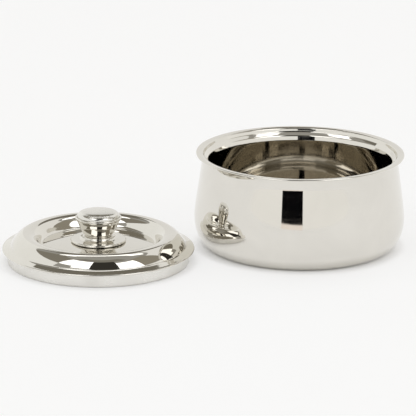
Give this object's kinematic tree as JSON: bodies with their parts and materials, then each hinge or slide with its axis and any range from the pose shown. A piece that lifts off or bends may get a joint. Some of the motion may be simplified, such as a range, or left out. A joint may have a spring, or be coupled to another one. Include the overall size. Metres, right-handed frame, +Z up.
{
  "type": "insulated casserole",
  "caption": "Round double-walled steel casserole that keeps flatbreads warm: a foam-insulated bowl with a stepped mouth, and a loose insulated lid with a knob.",
  "frame": {"origin": "on the table, under the centre of the bowl's base", "axes": "+Z up along the bowl's axis, +X from the lid towards the bowl's far side, -Y to the front, where the lid lies nearer"},
  "size_m": [0.4227, 0.2767, 0.101],
  "materials": {
    "bowl_outer_steel": "polished",
    "polished_steel": "polished",
    "lid_steel": "polished",
    "liner_steel": "satin",
    "knob_steel": "polished",
    "knob_cap_steel": "satin",
    "base_steel": "satin",
    "plain_steel": "satin",
    "insulation_foam": "matte",
    "plug_plastic": "matte"
  },
  "bodies": {
    "bowl": {"outer_shell": "bowl_outer_steel", "inner_bowl": "polished_steel", "bowl_insulation": "insulation_foam", "base_plate": "base_steel", "foam_plug": "plug_plastic"},
    "lid": {"lid_shell": "lid_steel", "lid_liner": "liner_steel", "lid_insulation": "insulation_foam", "knob_disc": "knob_steel", "knob_body": "knob_steel", "knob_cap": "knob_cap_steel", "knob_insert": "plain_steel", "knob_screw": "plain_steel", "spread_washer": "plain_steel"}
  },
  "joints": [
    {"name": "lid_lift", "type": "slide", "parent": "bowl", "child": "lid", "axis": [0, 0, 1], "range_m": [0, 0.16]}
  ]
}
